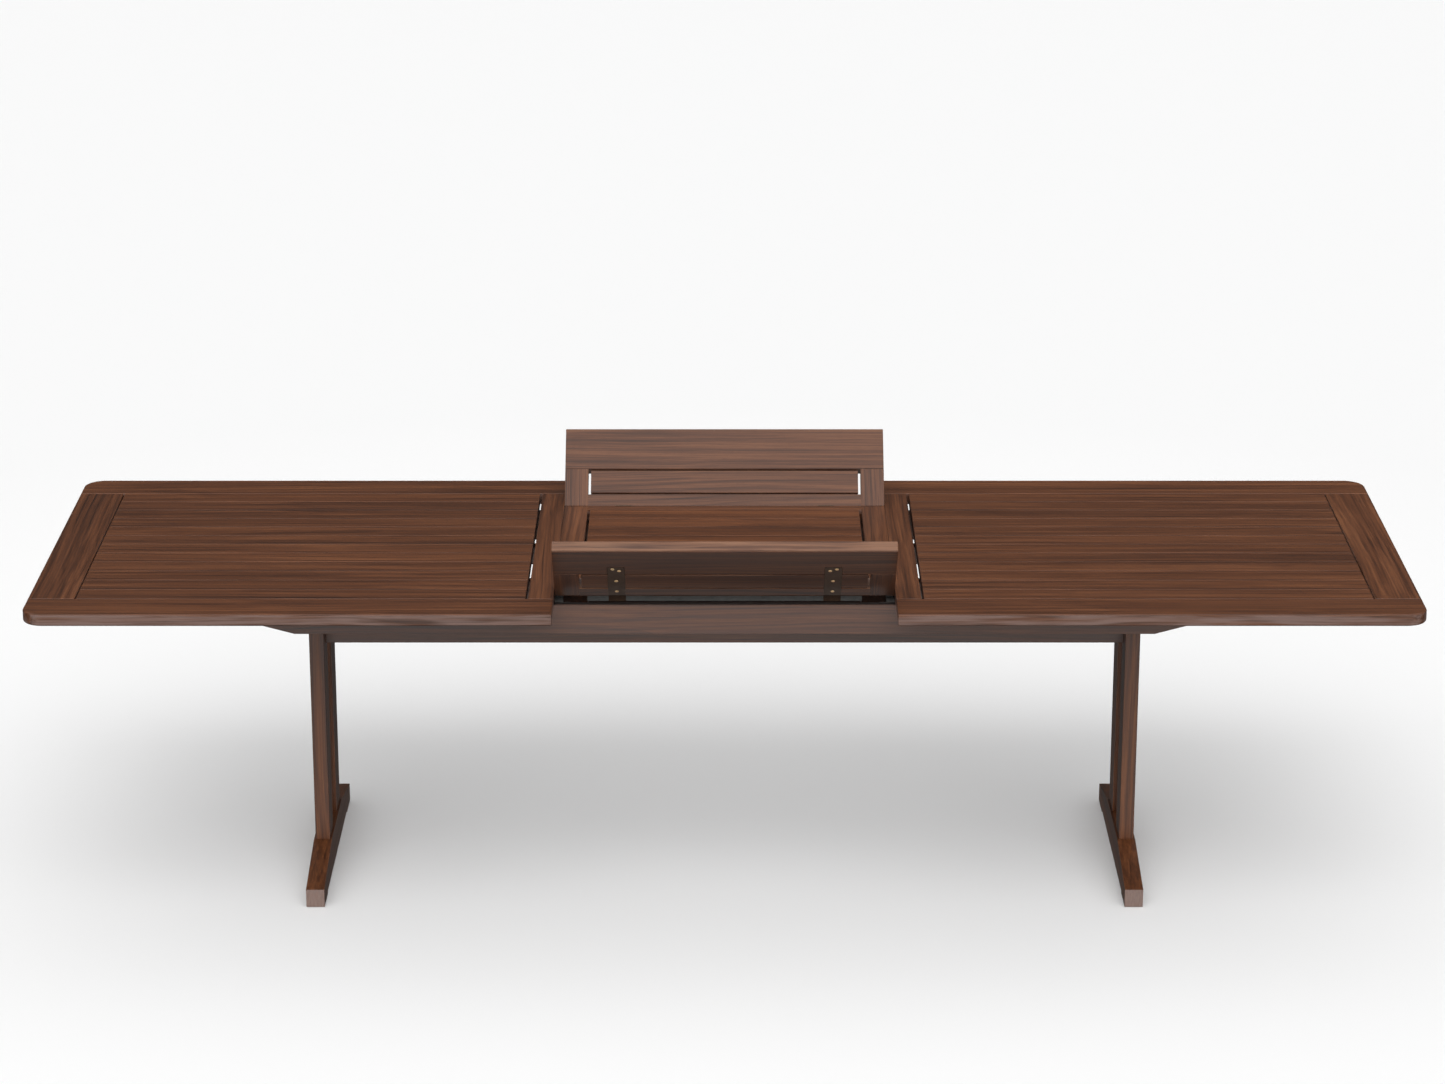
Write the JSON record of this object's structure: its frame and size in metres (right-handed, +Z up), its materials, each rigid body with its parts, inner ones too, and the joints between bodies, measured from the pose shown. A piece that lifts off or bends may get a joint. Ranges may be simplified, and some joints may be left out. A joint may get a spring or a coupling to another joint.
{
  "type": "extendable dining table",
  "caption": "Rectangular wooden dining table on two trestles, opened out, with sliding half-tops and a centre butterfly leaf whose front and rear flaps stand half raised.",
  "frame": {"origin": "on the floor under the middle of the opened table", "axes": "+X along the length to the right, +Y to the rear, +Z up"},
  "size_m": [2.954, 0.946, 0.8753],
  "materials": {
    "top_wood": "satin oiled walnut brown",
    "frame_wood": "satin oiled walnut brown",
    "grey_steel": "dull grey zinc",
    "bronze_steel": "dark bronze",
    "brass": "bright",
    "nylon": "matte"
  },
  "bodies": {
    "base": {"left_foot": "frame_wood", "right_foot": "frame_wood", "foot_glides": "nylon", "post_bolts": "grey_steel", "left_front_post": "frame_wood", "left_rear_post": "frame_wood", "right_front_post": "frame_wood", "right_rear_post": "frame_wood", "left_bearer": "frame_wood", "right_bearer": "frame_wood", "front_stretcher": "frame_wood", "rear_stretcher": "frame_wood", "front_side_rail": "frame_wood", "rear_side_rail": "frame_wood", "glide_strips": "nylon", "guide_plates": "grey_steel", "centre_left_stile": "top_wood", "centre_right_stile": "top_wood", "centre_front_rail": "top_wood", "centre_rear_rail": "top_wood", "centre_slats": "top_wood", "centre_battens": "frame_wood", "carrier_bars": "grey_steel", "end_carriers": "grey_steel", "carrier_pins": "grey_steel", "front_hinge_plates": "bronze_steel", "rear_hinge_plates": "bronze_steel", "front_hinge_pins": "brass", "rear_hinge_pins": "brass", "rail_brackets": "grey_steel"},
    "left_top": {"left_top_front_rail": "top_wood", "left_top_rear_rail": "top_wood", "left_top_end_stile": "top_wood", "left_top_inner_stile": "top_wood", "left_top_slats": "top_wood", "left_top_battens": "frame_wood", "left_top_runners": "frame_wood", "left_top_screws": "grey_steel"},
    "right_top": {"right_top_front_rail": "top_wood", "right_top_rear_rail": "top_wood", "right_top_end_stile": "top_wood", "right_top_inner_stile": "top_wood", "right_top_slats": "top_wood", "right_top_battens": "frame_wood", "right_top_runners": "frame_wood", "right_top_screws": "grey_steel"},
    "front_flap": {"front_flap_rail": "top_wood", "front_flap_left_stile": "top_wood", "front_flap_right_stile": "top_wood", "front_flap_slat": "top_wood", "front_flap_hinge_rail": "top_wood", "front_flap_straps": "bronze_steel", "front_flap_screws": "brass"},
    "rear_flap": {"rear_flap_rail": "top_wood", "rear_flap_left_stile": "top_wood", "rear_flap_right_stile": "top_wood", "rear_flap_slat": "top_wood", "rear_flap_hinge_rail": "top_wood", "rear_flap_straps": "bronze_steel", "rear_flap_screws": "brass"}
  },
  "joints": [
    {"name": "left_top_slide", "type": "slide", "parent": "base", "child": "left_top", "axis": [-1, 0, 0], "range_m": [0, 0.025]},
    {"name": "right_top_slide", "type": "slide", "parent": "base", "child": "right_top", "axis": [1, 0, 0], "range_m": [0, 0.025]},
    {"name": "front_flap_hinge", "type": "hinge", "parent": "base", "child": "front_flap", "pos_m": [0, -0.276, 0.7343], "axis": [-1, 0, 0], "range_deg": [-46.5, 133.5]},
    {"name": "rear_flap_hinge", "type": "hinge", "parent": "base", "child": "rear_flap", "pos_m": [0, 0.276, 0.7343], "axis": [1, 0, 0], "range_deg": [-46.5, 133.5]}
  ]
}
